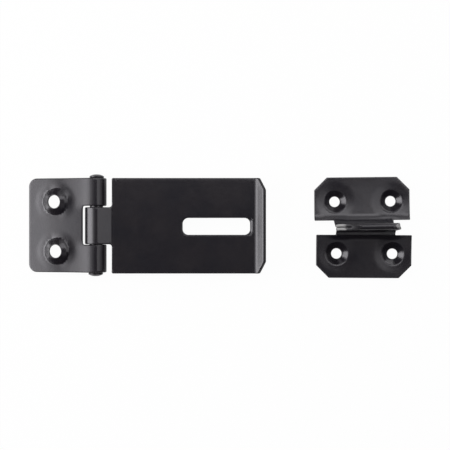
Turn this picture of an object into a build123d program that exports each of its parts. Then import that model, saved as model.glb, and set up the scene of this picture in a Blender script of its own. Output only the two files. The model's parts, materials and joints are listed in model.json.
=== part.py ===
# Safety hasp and staple in black pressed steel: a slotted hasp plate pinned to a screw-on leaf,
# and the staple plate whose folded ear stands through the slot to take a padlock.
# Millimetres. +X runs from the leaf to the staple, +Y runs along the hinge pin, and +Z points
# away from the surface that the set lies on. The origin is the middle of the set's footprint.

import os
from math import acos, asin, atan2, cos, degrees, hypot, radians, sin, tan

from build123d import *

os.makedirs("parts", exist_ok=True)

# Steel sheet: the hasp and its leaf are cut from a heavier one than the staple plate
hinge_sheet = 1.9
staple_sheet = 1.5

# Hinge pin, riveted over at both ends
pin_d = 6.5
pin_fit = 0.08  # radial clearance of the pin in the curls
pin_head_d = 7.3
pin_head_rim = 0.5  # straight edge under the dome
pin_head_h = 1.8
pin_end_play = 0.05  # under each head

# Knuckles, rolled round the pin from the sheet's own edge
curl_gap = 0.25  # between the curl's end and the sheet that it meets

# Hinge leaf
leaf_width = 45.9
leaf_flat = 30.85  # flat length, from the bend at the root to the outer edge
leaf_root_r = 12.0  # inside radius of the gentle bend between the flat and the curl
leaf_corner_r = 4.1
leaf_notch_reach = 6.0  # from the pin's axis to the bottom of the notch
leaf_notch_width = 18.9
leaf_notch_corner_r = 0.8
leaf_hole_d = 6.4
leaf_hole_spacing = 24.1
leaf_hole_inset = 14.25  # from the outer edge
leaf_hole_shift = 0.6  # the holes sit this far to -Y of the leaf's middle
leaf_hole_skew = 0.7  # the -Y hole sits this much nearer to the hinge than its fellow
leaf_hole_wall = 1.5  # straight wall left round the hole
leaf_dish_depth = 2.5
leaf_dish_flare = 3.0
leaf_bump_flare = 2.9

# Hasp plate
hasp_width = 46.4
hasp_knuckle_width = 18.0
hasp_slip = 0.25  # the hasp has slid this far along the pin, within its end play
neck_slope = 18.0  # degrees, falling from the knuckle to the plate
neck_reach = 8.1  # from the pin's axis to the bend where the plate begins
neck_bend_r = 2.0
shoulder_corner_r = 0.7
neck_corner_r = 1.3
lip_reach = 78.0  # from the pin's axis to the fold of the lip
lip_length = 5.35
lip_angle = 48.0
lip_bend_r = 2.9
lip_cut_along = 5.8  # corner cut, along the lip
lip_cut_across = 4.1
lip_corner_r = 1.4  # where the corner cut meets the lip's end
slot_start = 42.5  # from the pin's axis
slot_length = 32.8
slot_width = 8.2
slot_corner_r = 2.8
slot_shift = 0.3  # the slot sits this far to -Y of the plate's middle
slot_bevel = 1.05  # relief at the slot's far end, where the ear swings past
slot_bevel_corner_r = 1.5

# Staple plate
staple_length = 46.7
staple_width = 49.4
staple_corner_cut = 6.2
staple_edge_r = 0.7
staple_hole_d = 5.1
staple_hole_dx = 27.5
staple_hole_dy = 25.6
staple_hole_wall = 1.0
staple_dish_depth = 2.4
staple_dish_blend_r = 2.0  # where the dish meets the plate
staple_dish_flare = 3.0
staple_bump_flare = 3.2
ear_length = 28.9
ear_height = 22.1  # above the underside of the plate
ear_shift = 0.6  # the ear and holes stand this far to +X of the plate's middle
ear_gap = 0.1  # between the two layers of the fold
ear_foot_r = 2.0
ear_round_r = 11.0  # corner that clears the slot's end as the hasp swings
ear_corner_r = 2.5
eye_d = 9.0
eye_height = 13.6  # above the underside of the plate

# Pressed countersinks, dished on the screw's side and bumped on the back: each flare is how far
# the dish or the bump widens beyond its hole
dimple_margin = 1.2  # flat ring kept round the dish and the bump

# How the two halves of the set lie beside each other
set_gap = 24.3  # from the lip to the staple plate
staple_drop = 1.25  # the staple plate lies this far to -Y of the pin's middle

# Sizes that follow from the ones above
curl_in_r = pin_d / 2 + pin_fit
curl_r = curl_in_r + hinge_sheet
ear_thickness = 2 * staple_sheet + ear_gap
staple_bump_height = staple_dish_depth + staple_hole_wall - staple_sheet

# The leaf comes down from the top of its curl until its outer edge meets the surface
leaf_root_out_r = leaf_root_r + hinge_sheet
leaf_tilt = degrees(
    atan2(leaf_root_r, leaf_flat)
    + asin((2 * curl_r - leaf_root_out_r) / hypot(leaf_flat, leaf_root_r))
)
leaf_root_x = -leaf_root_out_r * sin(radians(leaf_tilt))
leaf_root_z = curl_r - leaf_root_out_r * (1 - cos(radians(leaf_tilt)))
leaf_tip_x = leaf_root_x - leaf_flat * cos(radians(leaf_tilt))
leaf_tip_z = leaf_root_z - leaf_flat * sin(radians(leaf_tilt))
leaf_back_distance = leaf_root_out_r - (leaf_root_out_r - curl_r) * cos(radians(leaf_tilt))

# Each curl stops where its outer face would meet the underside of its own sheet
leaf_wrap = 270 - leaf_tilt - degrees(acos((leaf_back_distance - hinge_sheet - curl_gap) / curl_r))
hasp_wrap = 360 - degrees(acos((curl_in_r - curl_gap) / curl_r))

neck_top_x = curl_r * sin(radians(neck_slope))
neck_top_z = curl_r * cos(radians(neck_slope))
plate_z = neck_top_z - (neck_reach - neck_top_x) * tan(radians(neck_slope))
lip_tip_x = lip_reach + lip_length * cos(radians(lip_angle))
lip_tip_z = plate_z + lip_length * sin(radians(lip_angle))
hasp_reach = lip_tip_x + hinge_sheet * sin(radians(lip_angle))

overall_length = hasp_reach - leaf_tip_x + set_gap + staple_length
hinge_x = -overall_length / 2 - leaf_tip_x
pin_y = staple_drop / 2
staple_x = (overall_length - staple_length) / 2
staple_y = -staple_drop / 2

# Planes: the pin's cross-section and plan for each piece on it, and the staple plate's own
leaf_plan = Plane((hinge_x, pin_y, curl_r))
leaf_section = Plane(leaf_plan.origin, x_dir=(1, 0, 0), z_dir=(0, -1, 0))
hasp_plan = Plane((hinge_x, pin_y - hasp_slip, curl_r))
hasp_section = Plane(hasp_plan.origin, x_dir=(1, 0, 0), z_dir=(0, -1, 0))
pin_section = Plane(leaf_plan.origin, x_dir=(0, 1, 0), z_dir=(1, 0, 0))
staple_plan = Plane((staple_x, staple_y, staple_bump_height + staple_sheet))
ear_plan = Plane((staple_x + ear_shift, staple_y, staple_bump_height + staple_sheet))
ear_section = Plane(ear_plan.origin, x_dir=(0, 1, 0), z_dir=(1, 0, 0))
ear_side = Plane(ear_plan.origin, x_dir=(1, 0, 0), z_dir=(0, -1, 0))


def pressed_dimple(hole_r, hole_wall, sheet, dish_depth, dish_flare, bump_flare, blend_r=0):
    """A countersink formed in the sheet, its dish opening to +Z from the sheet's face at Z = 0."""
    rim_r = hole_r + max(dish_flare, bump_flare) + dimple_margin
    with BuildPart() as dimple:
        with BuildSketch(Plane.XZ) as wall:
            with BuildLine():
                Polyline(
                    (rim_r, 0),
                    (hole_r + dish_flare, 0),
                    (hole_r, -dish_depth),
                    (hole_r, -dish_depth - hole_wall),
                    (hole_r + bump_flare, -sheet),
                    (rim_r, -sheet),
                    close=True,
                )
            make_face()
            if blend_r > 0:
                dish_edge = wall.vertices().sort_by_distance((hole_r + dish_flare, 0, 0))[0]
                fillet(dish_edge, blend_r)
        revolve(axis=Axis.Z)
    return dimple.part, rim_r


leaf_dimple, leaf_dimple_r = pressed_dimple(
    leaf_hole_d / 2,
    leaf_hole_wall,
    hinge_sheet,
    leaf_dish_depth,
    leaf_dish_flare,
    leaf_bump_flare,
)
staple_dimple, staple_dimple_r = pressed_dimple(
    staple_hole_d / 2,
    staple_hole_wall,
    staple_sheet,
    staple_dish_depth,
    staple_dish_flare,
    staple_bump_flare,
    staple_dish_blend_r,
)

# Hinge leaf: back upwards, so that its countersinks show as bumps
leaf_along = (-cos(radians(leaf_tilt)), 0, -sin(radians(leaf_tilt)))
leaf_out = (-sin(radians(leaf_tilt)), 0, cos(radians(leaf_tilt)))
leaf_tip = Vector(hinge_x + leaf_tip_x, pin_y, curl_r + leaf_tip_z)
leaf_hole_centre = leaf_tip - Vector(leaf_along) * leaf_hole_inset - Vector(leaf_out) * hinge_sheet
leaf_hole_centre -= Vector(0, leaf_hole_shift, 0)
leaf_front = Plane(leaf_hole_centre, x_dir=leaf_along, z_dir=-Vector(leaf_out))

with BuildPart() as hinge_leaf:
    with BuildSketch(leaf_section):
        with BuildLine():
            Line((leaf_tip_x, leaf_tip_z), (leaf_root_x, leaf_root_z))
            CenterArc((0, curl_r - leaf_root_out_r), leaf_root_out_r, 90 + leaf_tilt, -leaf_tilt)
            CenterArc((0, 0), curl_r, 90, -leaf_wrap)
            offset(amount=hinge_sheet, side=Side.RIGHT)
        make_face()
    extrude(amount=leaf_width / 2, both=True)
    outer_corners = hinge_leaf.edges().filter_by(Axis(leaf_tip, leaf_out)).sort_by(Axis.X)[:2]
    fillet(outer_corners, leaf_corner_r)
    with BuildSketch(leaf_plan) as notch:
        with Locations((-leaf_notch_reach, 0)):
            Rectangle(
                leaf_notch_reach + 2 * curl_r,
                leaf_notch_width,
                align=(Align.MIN, Align.CENTER),
            )
        fillet(notch.vertices().sort_by(Axis.X)[:2], leaf_notch_corner_r)
    extrude(amount=2 * curl_r, both=True, mode=Mode.SUBTRACT)
    with Locations(leaf_front):
        with Locations((0, leaf_hole_spacing / 2), (-leaf_hole_skew, -leaf_hole_spacing / 2)):
            Cylinder(leaf_dimple_r, 4 * hinge_sheet, mode=Mode.SUBTRACT)
            add(leaf_dimple)
hinge_leaf.part.label = "hinge_leaf"
export_step(hinge_leaf.part, "parts/hinge_leaf.step")

# Hinge pin
pin_r = pin_d / 2
head_r = pin_head_d / 2
head_start = leaf_width / 2 + pin_end_play
dome_h = pin_head_h - pin_head_rim
dome_r = (head_r**2 + dome_h**2) / (2 * dome_h)

with BuildPart() as hinge_pin:
    with BuildSketch(pin_section):
        with BuildLine():
            Polyline(
                (0, 0),
                (0, pin_r),
                (head_start, pin_r),
                (head_start, head_r),
                (head_start + pin_head_rim, head_r),
            )
            RadiusArc(
                (head_start + pin_head_rim, head_r),
                (head_start + pin_head_h, 0),
                dome_r,
            )
            Line((head_start + pin_head_h, 0), (0, 0))
        make_face()
        mirror(about=Plane.YZ)
    revolve(axis=Axis(pin_section.origin, (0, 1, 0)))
hinge_pin.part.label = "hinge_pin"
export_step(hinge_pin.part, "parts/hinge_pin.step")

# Hasp plate: outer face upwards, one sheet from the lip to the end of its curl
with BuildPart() as hasp_plate:
    with BuildSketch(hasp_section):
        with BuildLine():
            FilletPolyline(
                (lip_tip_x, lip_tip_z),
                (lip_reach, plate_z),
                (neck_reach, plate_z),
                (neck_top_x, neck_top_z),
                radius=[lip_bend_r, neck_bend_r],
            )
            offset(amount=hinge_sheet, side=Side.LEFT)
        make_face()
        with BuildLine():
            CenterArc((0, 0), curl_r, 90 - neck_slope, hasp_wrap)
            offset(amount=hinge_sheet, side=Side.LEFT)
        make_face()
    extrude(amount=hasp_width / 2, both=True)
    lip_corners = hasp_plate.faces().sort_by(Axis.X)[-1].edges().filter_by(Axis.Y, reverse=True)
    chamfer(lip_corners, lip_cut_along, lip_cut_across)
    lip_corners = hasp_plate.faces().sort_by(Axis.X)[-1].edges().filter_by(Axis.Y, reverse=True)
    fillet(lip_corners, lip_corner_r)
    with BuildSketch(hasp_plan) as outline:
        with Locations((neck_reach, 0)):
            Rectangle(hasp_reach, hasp_width, align=(Align.MIN, Align.CENTER))
        Rectangle(2 * neck_reach, hasp_knuckle_width)
        bend_corners = outline.vertices().group_by(Axis.X)[1]
        fillet(bend_corners.sort_by(lambda corner: abs(corner.Y))[:2], neck_corner_r)
        bend_corners = outline.vertices().filter_by_position(Axis.X, 0, neck_reach + hinge_sheet)
        fillet(bend_corners.sort_by(lambda corner: abs(corner.Y))[-2:], shoulder_corner_r)
    extrude(amount=4 * curl_r, both=True, mode=Mode.INTERSECT)
    with BuildSketch(hasp_plan):
        with Locations((slot_start + slot_length / 2, -slot_shift)):
            RectangleRounded(slot_length, slot_width, slot_corner_r)
    extrude(amount=4 * curl_r, both=True, mode=Mode.SUBTRACT)
    with BuildSketch(hasp_plan.offset(plate_z - slot_bevel)):
        with Locations((slot_start + slot_length, -slot_shift)):
            RectangleRounded(slot_width, slot_width, slot_corner_r, align=(Align.MAX, Align.CENTER))
    with BuildSketch(hasp_plan.offset(plate_z)):
        with Locations((slot_start + slot_length + slot_bevel, -slot_shift)):
            RectangleRounded(
                slot_width + slot_bevel,
                slot_width,
                slot_bevel_corner_r,
                align=(Align.MAX, Align.CENTER),
            )
    loft(mode=Mode.SUBTRACT)
hasp_plate.part.label = "hasp_plate"
export_step(hasp_plate.part, "parts/hasp_plate.step")

# Staple plate: one sheet, pinched double in its middle into the ear
with BuildPart() as staple_plate:
    with BuildSketch(ear_section):
        with BuildLine():
            side = FilletPolyline(
                (staple_width / 2, 0),
                (ear_thickness / 2, 0),
                (ear_thickness / 2, ear_height - staple_sheet - ear_thickness / 2),
                radius=ear_foot_r,
            )
            CenterArc((0, ear_height - staple_sheet - ear_thickness / 2), ear_thickness / 2, 0, 180)
            mirror(side, about=Plane.YZ)
            offset(amount=staple_sheet, side=Side.LEFT)
        make_face()
    extrude(amount=staple_length, both=True)
    with BuildSketch(staple_plan) as outline:
        Rectangle(staple_length, staple_width)
        chamfer(outline.vertices(), staple_corner_cut)
        fillet(outline.vertices(), staple_edge_r)
        with Locations((ear_shift - ear_length / 2, 0)):
            Rectangle(
                staple_length,
                ear_thickness + 2 * ear_foot_r,
                align=(Align.MAX, Align.CENTER),
                mode=Mode.SUBTRACT,
            )
        with Locations((ear_shift + ear_length / 2, 0)):
            Rectangle(
                staple_length,
                ear_thickness + 2 * ear_foot_r,
                align=(Align.MIN, Align.CENTER),
                mode=Mode.SUBTRACT,
            )
    extrude(amount=2 * ear_height, both=True, mode=Mode.INTERSECT)
    with BuildSketch(ear_side) as silhouette:
        with Locations((0, -staple_sheet)):
            Rectangle(ear_length, ear_height, align=(Align.CENTER, Align.MIN))
        near_corner, far_corner = silhouette.vertices().group_by(Axis.Y)[-1].sort_by(Axis.X)
        fillet(near_corner, ear_round_r)
        far_corner = silhouette.vertices().sort_by_distance(far_corner.center())[0]
        fillet(far_corner, ear_corner_r)
        with Locations((0, eye_height - staple_sheet)):
            Circle(eye_d / 2, mode=Mode.SUBTRACT)
        Rectangle(2 * staple_length, 2 * staple_sheet)
    extrude(amount=staple_width, both=True, mode=Mode.INTERSECT)
    with Locations(ear_plan):
        with GridLocations(staple_hole_dx, staple_hole_dy, 2, 2):
            Cylinder(staple_dimple_r, 4 * staple_sheet, mode=Mode.SUBTRACT)
            add(staple_dimple)
staple_plate.part.label = "staple_plate"
export_step(staple_plate.part, "parts/staple_plate.step")
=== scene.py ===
# Safety hasp and staple, satin black, seen from straight above on a white table

import json
import math

import bmesh
import bpy
from mathutils import Matrix, Vector
from mathutils.bvhtree import BVHTree


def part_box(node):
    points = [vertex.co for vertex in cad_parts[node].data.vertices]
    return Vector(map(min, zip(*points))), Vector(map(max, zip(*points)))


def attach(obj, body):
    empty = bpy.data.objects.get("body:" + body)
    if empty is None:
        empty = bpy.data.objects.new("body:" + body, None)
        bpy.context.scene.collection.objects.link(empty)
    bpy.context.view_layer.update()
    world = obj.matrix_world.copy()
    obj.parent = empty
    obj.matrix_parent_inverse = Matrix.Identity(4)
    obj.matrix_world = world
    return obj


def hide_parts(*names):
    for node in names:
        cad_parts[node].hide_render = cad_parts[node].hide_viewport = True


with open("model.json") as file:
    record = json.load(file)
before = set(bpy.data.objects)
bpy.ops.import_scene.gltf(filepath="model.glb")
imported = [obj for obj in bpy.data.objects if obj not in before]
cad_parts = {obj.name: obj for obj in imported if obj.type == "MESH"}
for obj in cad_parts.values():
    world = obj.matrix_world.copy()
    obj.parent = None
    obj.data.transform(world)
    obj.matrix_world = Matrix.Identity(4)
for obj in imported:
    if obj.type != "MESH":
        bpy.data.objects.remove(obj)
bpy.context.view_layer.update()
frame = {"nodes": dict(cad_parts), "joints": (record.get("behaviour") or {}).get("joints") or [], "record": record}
scene = bpy.context.scene
mm = 0.001
print("frame loaded:", sorted(frame["nodes"]))

# Finishes
mixSockets = {  # a Mix node keeps one set of sockets for each kind of data
    "floatA": 2,
    "floatB": 3,
    "colorA": 6,
    "colorB": 7,
    "floatOut": 0,
    "colorOut": 2,
}


def newMaterial(name):
    mat = bpy.data.materials.new(name)
    mat.use_nodes = True
    tree = mat.node_tree
    tree.nodes.clear()
    return mat, tree.nodes, tree.links


def addNode(nodes, kind, **settings):
    node = nodes.new(kind)
    for name, value in settings.items():
        setattr(node, name, value)
    return node


patterns = {
    "cloudDetail": 3,
    "cloudRoughness": 0.55,
    "cloudLow": 0.35,  # the part of the clouds' noise that goes from thick to thin coat
    "cloudHigh": 0.65,
    "streakScale": 420,
    "streakDetail": 4,
    "peelDetail": 2,
    "fleckDetail": 3,
    "noiseMiddle": 0.5,
}


def makeGroup(name, sockets):
    group = bpy.data.node_groups.new(name, "ShaderNodeTree")
    for socketName, side, kind in sockets:
        group.interface.new_socket(name=socketName, in_out=side, socket_type=kind)
    nodes, links = group.nodes, group.links
    given = nodes.new("NodeGroupInput")
    result = nodes.new("NodeGroupOutput")
    place = nodes.new("ShaderNodeTexCoord")
    return group, nodes, links, given, result, place.outputs["Object"]


# The uneven colour, gloss and skin that every sprayed and baked coat here shows
def makeCoatSkinGroup(values):
    sockets = (
        ("Coat Color", "INPUT", "NodeSocketColor"),
        ("Thin Color", "INPUT", "NodeSocketColor"),
        ("Thin Share", "INPUT", "NodeSocketFloat"),
        ("Roughness", "INPUT", "NodeSocketFloat"),
        ("Roughness Spread", "INPUT", "NodeSocketFloat"),
        ("Cloud Scale", "INPUT", "NodeSocketFloat"),
        ("Peel Scale", "INPUT", "NodeSocketFloat"),
        ("Peel Share", "INPUT", "NodeSocketFloat"),
        ("Color", "OUTPUT", "NodeSocketColor"),
        ("Roughness", "OUTPUT", "NodeSocketFloat"),
        ("Height", "OUTPUT", "NodeSocketFloat"),
    )
    group, nodes, links, given, result, place = makeGroup("coatSkin", sockets)

    clouds = addNode(nodes, "ShaderNodeTexNoise")  # slow drift in how thick the coat lies
    clouds.inputs["Detail"].default_value = values["cloudDetail"]
    clouds.inputs["Roughness"].default_value = values["cloudRoughness"]
    links.new(place, clouds.inputs["Vector"])
    links.new(given.outputs["Cloud Scale"], clouds.inputs["Scale"])
    spread = addNode(nodes, "ShaderNodeMapRange")
    spread.inputs["From Min"].default_value = values["cloudLow"]
    spread.inputs["From Max"].default_value = values["cloudHigh"]
    links.new(clouds.outputs["Fac"], spread.inputs["Value"])

    thin = addNode(nodes, "ShaderNodeMath", operation="MULTIPLY")
    links.new(spread.outputs["Result"], thin.inputs[0])
    links.new(given.outputs["Thin Share"], thin.inputs[1])
    mix = addNode(nodes, "ShaderNodeMix", data_type="RGBA")
    links.new(thin.outputs[0], mix.inputs["Factor"])
    links.new(given.outputs["Coat Color"], mix.inputs[mixSockets["colorA"]])
    links.new(given.outputs["Thin Color"], mix.inputs[mixSockets["colorB"]])
    links.new(mix.outputs[mixSockets["colorOut"]], result.inputs["Color"])

    streaks = addNode(nodes, "ShaderNodeTexNoise")  # finer patches that dull or shine
    streaks.inputs["Scale"].default_value = values["streakScale"]
    streaks.inputs["Detail"].default_value = values["streakDetail"]
    links.new(place, streaks.inputs["Vector"])
    both = addNode(nodes, "ShaderNodeMath", operation="ADD")
    links.new(streaks.outputs["Fac"], both.inputs[0])
    links.new(clouds.outputs["Fac"], both.inputs[1])
    centred = addNode(nodes, "ShaderNodeMath", operation="SUBTRACT")
    centred.inputs[1].default_value = 2 * values["noiseMiddle"]
    links.new(both.outputs[0], centred.inputs[0])
    gloss = addNode(nodes, "ShaderNodeMath", operation="MULTIPLY_ADD")
    links.new(centred.outputs[0], gloss.inputs[0])
    links.new(given.outputs["Roughness Spread"], gloss.inputs[1])
    links.new(given.outputs["Roughness"], gloss.inputs[2])
    links.new(gloss.outputs[0], result.inputs["Roughness"])

    peel = addNode(nodes, "ShaderNodeTexNoise")  # the fine orange peel of baked enamel
    peel.inputs["Detail"].default_value = values["peelDetail"]
    links.new(place, peel.inputs["Vector"])
    links.new(given.outputs["Peel Scale"], peel.inputs["Scale"])
    skin = addNode(nodes, "ShaderNodeMath", operation="MULTIPLY_ADD")
    links.new(peel.outputs["Fac"], skin.inputs[0])
    links.new(given.outputs["Peel Share"], skin.inputs[1])
    links.new(clouds.outputs["Fac"], skin.inputs[2])
    links.new(skin.outputs[0], result.inputs["Height"])
    return group


# Where the attribute is high, a light steel grey goes on in flecks. On convex corners it is chipped coat and also
# a painted highlight along them, and on the staple ear's two cut ends it is a painted highlight
def makeChipAndHighlightGroup(values):
    sockets = (
        ("ChipAndHighlight", "INPUT", "NodeSocketFloat"),
        ("Fleck Scale", "INPUT", "NodeSocketFloat"),
        ("Softness", "INPUT", "NodeSocketFloat"),
        ("Mask", "OUTPUT", "NodeSocketFloat"),
    )
    group, nodes, links, given, result, place = makeGroup("chipAndHighlightGroup", sockets)
    flecks = addNode(nodes, "ShaderNodeTexNoise")
    flecks.inputs["Detail"].default_value = values["fleckDetail"]
    links.new(place, flecks.inputs["Vector"])
    links.new(given.outputs["Fleck Scale"], flecks.inputs["Scale"])
    both = addNode(nodes, "ShaderNodeMath", operation="ADD")
    links.new(flecks.outputs["Fac"], both.inputs[0])
    links.new(given.outputs["ChipAndHighlight"], both.inputs[1])
    over = addNode(nodes, "ShaderNodeMath", operation="SUBTRACT")
    over.inputs[1].default_value = 2 * values["noiseMiddle"]
    links.new(both.outputs[0], over.inputs[0])
    mask = addNode(nodes, "ShaderNodeMapRange")
    links.new(over.outputs[0], mask.inputs["Value"])
    links.new(given.outputs["Softness"], mask.inputs["From Max"])
    links.new(mask.outputs["Result"], result.inputs["Mask"])
    return group


coatSkin = makeCoatSkinGroup(patterns)
chipAndHighlightGroup = makeChipAndHighlightGroup(patterns)

faceCoat = {
    "Coat Color": (0.0088, 0.0079, 0.0111, 1),
    "Thin Color": (0.0120, 0.0098, 0.0120, 1),
    "Thin Share": 0.8,
    "Roughness": 0.24,
    "Roughness Spread": 0.07,
    "Cloud Scale": 90,
    "Peel Scale": 1500,
    "Peel Share": 0.02,
    "ior": 1.55,
    "tint": (0.975, 0.955, 1.0, 1),
    "bump": 0.00007,  # metres of height over the whole span of the pattern
}
cutCoat = {
    "Coat Color": (0.0062, 0.0058, 0.0072, 1),
    "Thin Color": (0.0120, 0.0110, 0.0120, 1),
    "Thin Share": 0.9,
    "Roughness": 0.52,
    "Roughness Spread": 0.16,
    "Cloud Scale": 700,
    "Peel Scale": 3200,
    "Peel Share": 0.35,
    "ior": 1.42,
    "tint": (0.975, 0.955, 1.0, 1),
    "bump": 0.00006,
}
chipAndHighlightFinish = {
    "color": (0.26, 0.254, 0.254, 1),  # light steel grey: bare steel at chipped corners, and a painted highlight on the corners and the ear's ends
    "roughness": 0.55,
    "fleckScale": 1500,
    "softness": 0.22,
}


def mixColor(nodes, links, mask, under, over):
    mix = addNode(nodes, "ShaderNodeMix", data_type="RGBA")
    links.new(mask, mix.inputs["Factor"])
    links.new(under, mix.inputs[mixSockets["colorA"]])
    mix.inputs[mixSockets["colorB"]].default_value = over
    return mix.outputs[mixSockets["colorOut"]]


def mixFloat(nodes, links, mask, under, over):
    mix = addNode(nodes, "ShaderNodeMix", data_type="FLOAT")
    links.new(mask, mix.inputs["Factor"])
    links.new(under, mix.inputs[mixSockets["floatA"]])
    mix.inputs[mixSockets["floatB"]].default_value = over
    return mix.outputs[mixSockets["floatOut"]]


def makeCoat(name, values):
    mat, nodes, links = newMaterial(name)
    out = nodes.new("ShaderNodeOutputMaterial")
    shader = nodes.new("ShaderNodeBsdfPrincipled")
    shader.inputs["IOR"].default_value = values["ior"]
    shader.inputs["Specular Tint"].default_value = values["tint"]
    skin = nodes.new("ShaderNodeGroup")
    skin.node_tree = coatSkin
    for socket in skin.inputs:
        socket.default_value = values[socket.name]
    # light steel grey flecks where the attribute is high: chipped coat and a painted highlight
    chipAndHighlight = addNode(nodes, "ShaderNodeAttribute", attribute_name="chipAndHighlight")
    chipAndHighlightNode = nodes.new("ShaderNodeGroup")
    chipAndHighlightNode.node_tree = chipAndHighlightGroup
    chipAndHighlightNode.inputs["Fleck Scale"].default_value = chipAndHighlightFinish["fleckScale"]
    chipAndHighlightNode.inputs["Softness"].default_value = chipAndHighlightFinish["softness"]
    links.new(chipAndHighlight.outputs["Fac"], chipAndHighlightNode.inputs["ChipAndHighlight"])
    mask = chipAndHighlightNode.outputs["Mask"]
    color = mixColor(nodes, links, mask, skin.outputs["Color"], chipAndHighlightFinish["color"])
    gloss = mixFloat(nodes, links, mask, skin.outputs["Roughness"], chipAndHighlightFinish["roughness"])
    bump = nodes.new("ShaderNodeBump")
    bump.inputs["Strength"].default_value = 1.0
    bump.inputs["Distance"].default_value = values["bump"]
    links.new(skin.outputs["Height"], bump.inputs["Height"])
    links.new(color, shader.inputs["Base Color"])
    links.new(gloss, shader.inputs["Roughness"])
    links.new(bump.outputs["Normal"], shader.inputs["Normal"])
    links.new(shader.outputs[0], out.inputs[0])
    return mat


faceMaterial = makeCoat("bakedBlackCoat", faceCoat)
cutMaterial = makeCoat("thinCoatOnCutEdges", cutCoat)
for node in frame["nodes"].values():
    node.data.materials.clear()
    node.data.materials.append(faceMaterial)
print("coats made")


# Sheet metal pieces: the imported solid, with the small rounding and give that pressing leaves
record = frame["record"]
bodyOfNode = {node: body for body, nodes in record["behaviour"]["bodies"].items() for node in nodes}
mountAt = {item["name"]: Vector(item["pos_m"]) for item in record["mounts"]}
hingeAt = Vector(frame["joints"][0]["pos_m"])

pressing = {
    "sharpAngle": 38,  # degrees between faces above which an edge is rounded
    "segments": 3,
    "thicknessReach": 1.35,  # a face with the sheet's back this near behind it is not a cut edge
    "weld": 2e-6,
    "cutWeld": 1e-6,
    "rayStart": 1e-5,  # below the face, so that a ray doesn't meet it
    "evenWeight": 70,
}


def boxOf(bm):
    low = Vector([min(v.co[k] for v in bm.verts) for k in range(3)])
    high = Vector([max(v.co[k] for v in bm.verts) for k in range(3)])
    return low, high


def easeIn(value, start, end):
    share = min(max((value - start) / (end - start), 0.0), 1.0)
    return share * share * (3 - 2 * share)


def mergedCopy(nodeName, flatAngle):
    bm = bmesh.new()
    bm.from_mesh(frame["nodes"][nodeName].data)
    bmesh.ops.remove_doubles(bm, verts=bm.verts, dist=pressing["weld"])
    flat = math.radians(flatAngle)
    bmesh.ops.dissolve_limit(bm, angle_limit=flat, verts=bm.verts, edges=bm.edges)
    return bm


def roundEdges(bm, radius):
    limit = math.radians(pressing["sharpAngle"])
    sharp = [e for e in bm.edges if len(e.link_faces) == 2 and e.calc_face_angle() > limit]
    bmesh.ops.bevel(
        bm, geom=sharp, offset=radius, offset_type="OFFSET", affect="EDGES",
        segments=pressing["segments"], profile=0.5, material=-1, clamp_overlap=False, loop_slide=True,
    )


def cutGrid(bm, steps):
    low, high = boxOf(bm)
    for axis in (0, 1):
        count = int((high[axis] - low[axis]) / steps[axis])
        for i in range(1, count + 1):
            point = Vector((0, 0, 0))
            point[axis] = low[axis] + i * (high[axis] - low[axis]) / (count + 1)
            across = Vector((0, 0, 0))
            across[axis] = 1
            geom = bm.verts[:] + bm.edges[:] + bm.faces[:]
            bmesh.ops.bisect_plane(bm, geom=geom, dist=pressing["cutWeld"], plane_co=point, plane_no=across)


# Faces with no sheet close behind them are cut edges, and take the second material
def markCutEdges(bm, sheet):
    bm.normal_update()
    tree = BVHTree.FromBMesh(bm)
    for face in bm.faces:
        inward = -face.normal
        start = face.calc_center_median_weighted() + inward * pressing["rayStart"]
        hit = tree.ray_cast(start, inward, sheet * pressing["thicknessReach"])
        face.material_index = 0 if hit[0] is not None else 1


cornerFlecks = {
    "fullAngle": 30,  # degrees of convex bend that count as a corner
    "cornerChipAndHighlight": 0.36,  # how much light grey a convex corner takes, 0 to 1: chipped coat and a painted highlight
}


# Convex corners take a share of the light grey flecks: chipped coat and a painted highlight along the edges
def markCornerChipsAndHighlight(bm):
    layer = bm.verts.layers.float.new("chipAndHighlight")
    full = math.radians(cornerFlecks["fullAngle"])
    for edge in bm.edges:
        if len(edge.link_faces) != 2:
            continue
        bend = edge.calc_face_angle_signed()
        share = min(max(bend / full, 0.0), 1.0) * cornerFlecks["cornerChipAndHighlight"]
        for vert in edge.verts:
            vert[layer] = max(vert[layer], share)
    return layer


def finishPiece(bm, name, nodeName, materials):
    bmesh.ops.triangulate(bm, faces=[f for f in bm.faces if len(f.verts) > 4])
    mesh = bpy.data.meshes.new(name)
    for face in bm.faces:
        face.smooth = True
    bm.to_mesh(mesh)
    bm.free()
    piece = bpy.data.objects.new(name, mesh)
    scene.collection.objects.link(piece)
    for mat in materials:
        mesh.materials.append(mat)
    even = piece.modifiers.new("evenShading", "WEIGHTED_NORMAL")
    even.weight = pressing["evenWeight"]
    even.keep_sharp = False
    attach(piece, bodyOfNode[nodeName])
    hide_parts(nodeName)
    print(name, "made:", len(mesh.polygons), "faces")
    return piece


def sheetPiece(nodeName, values):
    bm = mergedCopy(nodeName, values["flatAngle"])
    roundEdges(bm, values["edgeRadius"])
    cutGrid(bm, values["grid"])
    markCutEdges(bm, values["sheet"])
    return bm


# Hasp plate
haspPlate = {
    "sheet": 0.0019,
    "flatAngle": 2.0,  # degrees between faces that count as one plane
    "edgeRadius": 0.0005,
    "grid": (0.002, 0.002),
    "curlPush": 0.0006,  # the top of the curl is pushed over towards the plate
    "curlLow": 0.0010,  # heights over the pin's axis
    "curlHigh": 0.0050,
    "curlReach": 0.0040,
    "lipFrom": 0.0500,  # distance from the hinge's axis beyond which the lip leans out a little more
    "lipAbove": 0.0081,
    "lipLean": 0.028,
}


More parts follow.
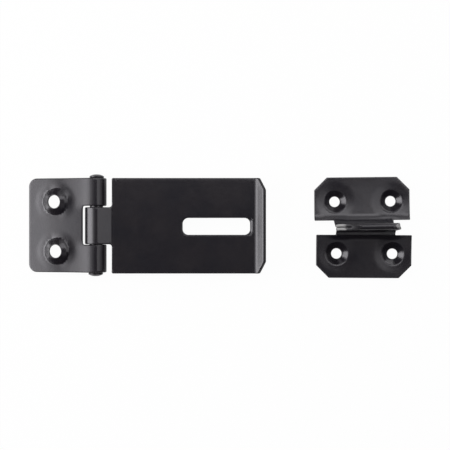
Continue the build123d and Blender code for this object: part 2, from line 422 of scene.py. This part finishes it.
def giveCurl(bm, hasp):
    for vert in bm.verts:
        high = easeIn(vert.co.z - hingeAt.z, hasp["curlLow"], hasp["curlHigh"])
        near = 1 - easeIn(vert.co.x - hingeAt.x, 0, hasp["curlReach"])
        vert.co.x += hasp["curlPush"] * high * near
        above = vert.co.z - hasp["lipAbove"]
        if above > 0 and vert.co.x - hingeAt.x > hasp["lipFrom"]:
            vert.co.x += hasp["lipLean"] * above
            vert.co.z -= hasp["lipLean"] * above


bm = sheetPiece("hasp_plate", haspPlate)
markCornerChipsAndHighlight(bm)
giveCurl(bm, haspPlate)
finishPiece(bm, "pressedHasp", "hasp_plate", (faceMaterial, cutMaterial))

# Hinge leaf
hingeLeaf = {
    "sheet": 0.0019,
    "flatAngle": 0.4,
    "edgeRadius": 0.00045,
    "grid": (0.001, 0.001),
    "armDip": 0.0006,  # sag of the two arms between the bumps and the curl
    "armDipFrom": 0.0004,  # distances from the pin's axis
    "armDipTo": 0.024,
    "notchSag": 0.0008,  # sag of the free edge at the notch
    "notchEdge": 0.006,
    "notchCurve": 1.6,  # 1 is a straight sag, and more than 1 is steeper near the notch
    "sagFade": 0.003,  # height over the pin's axis above which the curl sags as the sheet does
    "armInside": 0.007,  # distances from the leaf's middle
    "armOutside": 0.0105,
    "skirtRise": 0.00105,  # the sheet drawn up round each bump, on the hinge's side
    "skirtFrom": 0.0048,
    "skirtTo": 0.0108,
    "skirtHeading": 18,  # degrees from +X
    "curlPush": 0.0006,  # the top of the two curls is pushed over towards the plate
    "curlLow": 0.0010,  # heights over the pin's axis
    "curlHigh": 0.0045,
    "curlBefore": (0.006, 0.014),  # from the axis outwards, where the push dies out
    "curlAfter": (-0.0005, 0.0025),  # and the same towards the plate
    "bumpSpread": 0.0005,  # the bumps' walls pushed outward, along the leaf and across it
    "bumpSpreadAcross": 0.0004,
    "bumpInside": 0.0036,
    "bumpWallFrom": 0.0052,
    "bumpWallTo": 0.0066,
    "bumpOutside": 0.0105,
}


def giveLeaf(bm, leaf):
    middle = mountAt["leaf_screw_a"].lerp(mountAt["leaf_screw_b"], 0.5)
    heading = math.radians(leaf["skirtHeading"])
    towards = Vector((math.cos(heading), math.sin(heading)))
    dipMiddle = (leaf["armDipFrom"] + leaf["armDipTo"]) / 2
    dipHalf = (leaf["armDipTo"] - leaf["armDipFrom"]) / 2
    for vert in bm.verts:
        out = hingeAt.x - vert.co.x
        aside = abs(vert.co.y - hingeAt.y)
        arm = easeIn(aside, leaf["armInside"], leaf["armOutside"])
        drop = 0.0
        if abs(out - dipMiddle) < dipHalf:
            wave = math.cos(math.pi * (out - dipMiddle) / dipHalf)
            drop += arm * leaf["armDip"] * (1 + wave) / 2
        if 0 < out < leaf["armDipTo"]:
            share = min((leaf["armDipTo"] - out) / (leaf["armDipTo"] - leaf["notchEdge"]), 1.0)
            drop += (1 - arm) * leaf["notchSag"] * share ** leaf["notchCurve"]
        if out < leaf["notchEdge"]:
            drop *= easeIn(vert.co.z - hingeAt.z, 0, leaf["sagFade"])
        lift = 0.0
        for name in ("leaf_screw_a", "leaf_screw_b"):
            away = (vert.co - mountAt[name]).to_2d()
            reach = away.length
            share = max(away.dot(towards) / max(reach, leaf["skirtFrom"]), 0)
            lift += leaf["skirtRise"] * share * (1 - easeIn(reach, leaf["skirtFrom"], leaf["skirtTo"]))
            wall = easeIn(reach, leaf["bumpInside"], leaf["bumpWallFrom"])
            wall *= 1 - easeIn(reach, leaf["bumpWallTo"], leaf["bumpOutside"])
            if wall > 0:
                vert.co.x += leaf["bumpSpread"] * wall * away.x / reach
                vert.co.y += leaf["bumpSpreadAcross"] * wall * away.y / reach
        high = easeIn(vert.co.z - hingeAt.z, leaf["curlLow"], leaf["curlHigh"])
        near = (1 - easeIn(out, *leaf["curlBefore"])) * (1 - easeIn(-out, *leaf["curlAfter"]))
        vert.co.x += leaf["curlPush"] * high * near * arm
        vert.co.z += lift - drop


bm = sheetPiece("hinge_leaf", hingeLeaf)
markCornerChipsAndHighlight(bm)
giveLeaf(bm, hingeLeaf)
finishPiece(bm, "pressedLeaf", "hinge_leaf", (faceMaterial, cutMaterial))

# Staple plate
staplePlate = {
    "sheet": 0.0015,
    "flatAngle": 0.4,
    "edgeRadius": 0.00045,
    "grid": (0.001, 0.0005),
    "rise": 0.0016,  # the plate climbs this much from its outer edges to the ear
    "riseBend": 1.6,  # 1 is a straight climb, and more than 1 is steeper near the ear
    "earSide": 0.00155,  # from the fold's middle to the ear's flat side
    "bentFootRadius": 0.0052,  # the loose bend the sheet makes into the ear
    "footRadius": 0.0020,  # and the tighter one it is cut from
    "bendBeyond": (0.8, 0.4),  # share of that bend beside the ear, on the upper and the lower half
    "dishSink": 0.0003,  # the sheet drawn down round each countersink
    "dishFrom": 0.0055,
    "dishTo": 0.0100,
    "foot": 0.0035,  # heights where the climb begins to die out and where it is gone
    "top": 0.0088,
    "leanFoot": 0.0065,  # the same for the lean
    "leanTop": 0.0190,
    "slip": 0.00045,  # each half slid this far along the fold, the two in opposite directions
    "slipReach": 0.0015,
    "turnUpper": 0.6,  # degrees that each half has turned
    "turnLower": 0.3,
    "leanNear": 0.00035,  # the fold leans over at its two ends
    "leanFar": 0.0008,
    "earHalf": 0.0145,
    "beyondFrom": -0.001,  # from the ear's end, where the bend beside the ear begins and is whole
    "beyondTo": 0.003,
    "turnFrom": 0.001,  # from the fold's middle, where the turn begins and is whole
    "turnTo": 0.004,
    "eyeReach": 0.006,  # cut faces this near to the eye's middle never get the painted highlight
    "highlightNear": (0.0010, 0.0062),  # where the painted highlight on the ear's sloping end begins to fade, and where it is gone
    "highlightFar": (0.0030, 0.0045),
    "highlightShare": 0.95,
    "highlightFaces": 2,  # cut faces that a highlighted corner touches at least
    "highlightAbove": 0.0080,
}


def filletHeight(radius, away):
    if away >= radius:
        return 0.0
    short = radius - max(away, 0.0)
    return radius - math.sqrt(radius * radius - short * short)


def giveStaple(bm, staple):
    middle = mountAt["staple_screws"]
    dims = [m for m in record["mounts"] if m["name"] == "staple_screws"][0]["dims"]
    stepX = dims["spacing_x_mm"] * mm / 2
    stepY = dims["spacing_y_mm"] * mm / 2
    low, high = boxOf(bm)
    half = high.y - middle.y
    for vert in bm.verts:
        x = vert.co.x - middle.x
        y = vert.co.y - middle.y
        aside = abs(y)
        level = min(max((staple["top"] - vert.co.z) / (staple["top"] - staple["foot"]), 0.0), 1.0)
        up = easeIn(vert.co.z, staple["leanFoot"], staple["leanTop"])
        rise = staple["rise"] * max(1 - aside / half, 0) ** staple["riseBend"]
        foot = aside - staple["earSide"]
        bend = filletHeight(staple["bentFootRadius"], foot) - filletHeight(staple["footRadius"], foot)
        beyond = easeIn(abs(x) - staple["earHalf"], staple["beyondFrom"], staple["beyondTo"])
        rise += bend * (1 - beyond * (1 - staple["bendBeyond"][0 if y > 0 else 1]))
        away = math.hypot(abs(x) - stepX, aside - stepY)
        rise -= staple["dishSink"] * (1 - easeIn(away, staple["dishFrom"], staple["dishTo"]))
        turn = math.radians(staple["turnUpper"] if y > 0 else staple["turnLower"])
        spread = turn * (x + stepX if y > 0 else stepX - x)
        spread *= easeIn(aside, staple["turnFrom"], staple["turnTo"])
        along = (x / staple["earHalf"] + 1) / 2
        lean = staple["leanNear"] + (staple["leanFar"] - staple["leanNear"]) * along
        vert.co.z += rise * level
        vert.co.y += spread + lean * up
        vert.co.x -= staple["slip"] * math.tanh(y / staple["slipReach"])


# Painted highlight: the cut faces at the ear's two sloping ends take the light grey, where those ends catch the
# light
def paintEarEndHighlights(bm, layer, staple):
    ear = [v for v in bm.verts if v.co.z > staple["highlightAbove"]]
    near = min(v.co.x for v in ear)
    far = max(v.co.x for v in ear)
    eye = mountAt["padlock_eye"]
    for vert in ear:
        cut = sum(f.material_index == 1 for f in vert.link_faces) >= staple["highlightFaces"]
        inEye = math.hypot(vert.co.x - eye.x, vert.co.z - eye.z) < staple["eyeReach"]
        if cut and not inEye:
            fromNear = staple["highlightShare"] * (1 - easeIn(vert.co.x - near, *staple["highlightNear"]))
            fromFar = staple["highlightShare"] * (1 - easeIn(far - vert.co.x, *staple["highlightFar"]))
            vert[layer] = max(vert[layer], fromNear, fromFar)


bm = sheetPiece("staple_plate", staplePlate)
layer = markCornerChipsAndHighlight(bm)
paintEarEndHighlights(bm, layer, staplePlate)
giveStaple(bm, staplePlate)
finishPiece(bm, "pressedStaple", "staple_plate", (faceMaterial, cutMaterial))

# Hinge pin
hingePin = {
    "shankRadius": 0.00325,
    "headRadius": 0.0035,
    "headHeight": 0.0018,
    "rimHeight": 0.0009,
    "rimRound": 0.00022,
    "flatSpot": 0.0008,  # radius of the flat that peening leaves on the crown
    "crownCurve": 2.0,
    "upperShift": 0.0005,  # the upper head was peened this far off centre
    "headMargin": 1e-5,  # how far below the head's underside a point still moves with the head
    "weld": 1e-6,
    "steps": 72,
    "crownSteps": 10,
    "roundSteps": 4,
}


def headProfile(pin):
    crownHeight = pin["headHeight"] - pin["rimHeight"] - pin["rimRound"] / 2
    reach = pin["headRadius"] - pin["rimRound"] - pin["flatSpot"]
    points = [(0.0, 0.0), (pin["flatSpot"], 0.0)]
    for i in range(1, pin["crownSteps"] + 1):
        share = i / pin["crownSteps"]
        points.append((pin["flatSpot"] + reach * share, crownHeight * share ** pin["crownCurve"]))
    for i in range(1, pin["roundSteps"] + 1):
        a = math.pi / 2 * i / pin["roundSteps"]
        points.append((
            pin["headRadius"] - pin["rimRound"] * (1 - math.sin(a)),
            crownHeight + pin["rimRound"] * (1 - math.cos(a)),
        ))
    points.append((pin["headRadius"], pin["headHeight"] - pin["rimRound"]))
    points.append((pin["headRadius"] - pin["rimRound"], pin["headHeight"]))
    points.append((pin["shankRadius"], pin["headHeight"]))
    return points


def makePin(pin):
    low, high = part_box("hinge_pin")
    profile = headProfile(pin)
    ends = [(r, high[1] - t) for r, t in profile] + [(r, low[1] + t) for r, t in reversed(profile)]
    bm = bmesh.new()
    verts = [bm.verts.new((hingeAt.x + r, y, hingeAt.z)) for r, y in ends]
    edges = [bm.edges.new(pair) for pair in zip(verts, verts[1:])]
    bmesh.ops.spin(
        bm, geom=verts + edges, cent=hingeAt, axis=(0, 1, 0),
        angle=2 * math.pi, steps=pin["steps"], use_merge=True,
    )
    bmesh.ops.remove_doubles(bm, verts=bm.verts, dist=pin["weld"])
    bmesh.ops.recalc_face_normals(bm, faces=bm.faces)
    markCornerChipsAndHighlight(bm)
    for vert in bm.verts:
        if vert.co.y > high[1] - pin["headHeight"] - pin["headMargin"]:
            vert.co.x += pin["upperShift"]
    return bm


finishPiece(makePin(hingePin), "peenedPin", "hinge_pin", (faceMaterial, cutMaterial))

# Table, lights and camera
tableTop = {
    "side": 3.0,
    "white": 0.80,
    "cameraGlow": 0.97,  # the camera sees this much plain white, and the rest shows the shadow
    "mirrorGlow": 0.30,  # the same for what the coat mirrors
}


def makeTable(values):
    bm = bmesh.new()
    bmesh.ops.create_grid(bm, x_segments=1, y_segments=1, size=values["side"] / 2)
    mesh = bpy.data.meshes.new("table")
    bm.to_mesh(mesh)
    bm.free()
    table = bpy.data.objects.new("table", mesh)
    scene.collection.objects.link(table)
    mat, nodes, links = newMaterial("whiteTable")
    out = nodes.new("ShaderNodeOutputMaterial")
    glow = nodes.new("ShaderNodeEmission")
    matt = nodes.new("ShaderNodeBsdfDiffuse")
    matt.inputs["Color"].default_value = [values["white"]] * 3 + [1]
    path = nodes.new("ShaderNodeLightPath")
    seen = addNode(nodes, "ShaderNodeMath", operation="MULTIPLY")
    seen.inputs[1].default_value = values["cameraGlow"]
    links.new(path.outputs["Is Camera Ray"], seen.inputs[0])
    mirrored = addNode(nodes, "ShaderNodeMath", operation="MULTIPLY_ADD")
    mirrored.inputs[1].default_value = values["mirrorGlow"]
    links.new(path.outputs["Is Glossy Ray"], mirrored.inputs[0])
    links.new(seen.outputs[0], mirrored.inputs[2])
    mix = nodes.new("ShaderNodeMixShader")
    links.new(mirrored.outputs[0], mix.inputs["Fac"])
    links.new(matt.outputs[0], mix.inputs[1])
    links.new(glow.outputs[0], mix.inputs[2])
    links.new(mix.outputs[0], out.inputs[0])
    mesh.materials.append(mat)


makeTable(tableTop)

# Each lamp leans by its angle from straight up, towards +X at heading 0 and towards +Y at heading 90
lamps = {
    "leftBox": {
        "angle": -71, "heading": 0, "distance": 0.75,
        "width": 0.576, "height": 0.62, "power": 6.2,
    },
    "leftMid": {
        "angle": -44.2, "heading": 0, "distance": 0.80,
        "width": 0.176, "height": 0.7, "power": 0.95,
    },
    "leftTop": {
        "angle": -31, "heading": 0, "distance": 0.85,
        "width": 0.209, "height": 0.66, "power": 0.43,
    },
    "rightBox": {
        "angle": 35, "heading": 14, "distance": 0.85,
        "width": 0.52, "height": 0.55, "power": 1.26,
    },
    "rightLow": {
        "angle": 65, "heading": 14, "distance": 0.85,
        "width": 0.36, "height": 0.7, "power": 0.5,
    },
    "rightBack": {
        "angle": 68, "heading": 50, "distance": 0.85,
        "width": 0.42, "height": 0.65, "power": 1.71,
    },
    "backBox": {
        "angle": 24.5, "heading": 90, "distance": 0.80,
        "width": 0.31, "height": 0.6, "power": 1.6,
    },
    "backLow": {
        "angle": 54, "heading": 90, "distance": 0.80,
        "width": 0.50, "height": 0.7, "power": 0.85,
    },
    "frontBox": {
        "angle": 24.5, "heading": -90, "distance": 0.80,
        "width": 0.31, "height": 0.6, "power": 0.22,
    },
    "overhead": {
        "angle": 4, "heading": 90, "distance": 0.90,
        "width": 0.72, "height": 0.72, "power": 0.10,
    },
}


def makeLamps(table):
    for name, item in table.items():
        data = bpy.data.lights.new(name, "AREA")
        data.shape = "RECTANGLE"
        data.size = item["width"]
        data.size_y = item["height"]
        data.energy = item["power"]
        lamp = bpy.data.objects.new(name, data)
        lean = math.radians(item["angle"])
        turn = math.radians(item["heading"])
        away = Vector((math.sin(lean) * math.cos(turn), math.sin(lean) * math.sin(turn), math.cos(lean)))
        side = Vector((math.cos(lean) * math.cos(turn), math.cos(lean) * math.sin(turn), -math.sin(lean)))
        facing = Matrix((side, away.cross(side), away)).transposed()
        lamp.matrix_world = Matrix.Translation(away * item["distance"]) @ facing.to_4x4()
        lamp.visible_camera = False
        scene.collection.objects.link(lamp)


makeLamps(lamps)

roomColor = (0.02, 0.02, 0.02, 1)
world = bpy.data.worlds.new("studio")
scene.world = world
world.use_nodes = True
world.node_tree.nodes["Background"].inputs["Color"].default_value = roomColor

cameraPlace = {
    "aim": (0.00279, 0.00075, 0.0081),
    "distance": 0.450,
    "fieldWidth": 0.21825,
    "sensor": 36.0,
}


def makeCamera(place):
    data = bpy.data.cameras.new("camera")
    data.sensor_width = place["sensor"]
    data.lens = place["sensor"] * place["distance"] / place["fieldWidth"]
    camera = bpy.data.objects.new("camera", data)
    camera.location = Vector(place["aim"]) + Vector((0, 0, place["distance"]))
    scene.collection.objects.link(camera)
    scene.camera = camera


makeCamera(cameraPlace)
scene.view_settings.view_transform = "Standard"
print("stage set")
